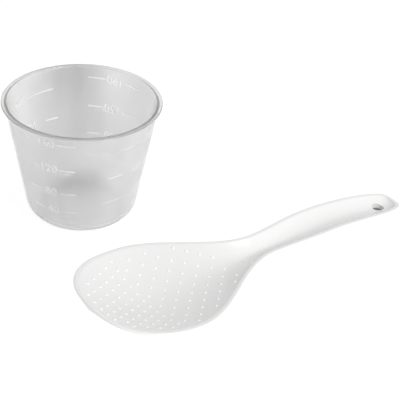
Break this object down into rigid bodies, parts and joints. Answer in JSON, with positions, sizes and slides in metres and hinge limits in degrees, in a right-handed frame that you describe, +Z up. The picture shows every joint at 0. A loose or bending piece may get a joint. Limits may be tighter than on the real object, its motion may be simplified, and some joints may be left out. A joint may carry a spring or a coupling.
{
  "type": "rice cooker measuring cup and paddle set",
  "caption": "Frosted tapered measuring cup with moulded level marks, and a white rice paddle with a bumped scoop and a channel handle.",
  "frame": {"origin": "middle of the cup's base, on the surface that both pieces rest on", "axes": "+Z up along the cup's axis; +X towards the side where the paddle's handle lies; +Y away from the paddle's blade"},
  "size_m": [0.2145, 0.1616, 0.065],
  "materials": {
    "frosted_pp": "frosted, see-through",
    "white_pp": "satin gloss"
  },
  "bodies": {
    "cup": {"measuring_cup": "frosted_pp"},
    "paddle": {"rice_paddle": "white_pp"}
  },
  "joints": [
    {"name": "paddle_lift", "type": "slide", "parent": "cup", "child": "paddle", "axis": [0, 0, 1], "range_m": [0, 0.12]}
  ]
}
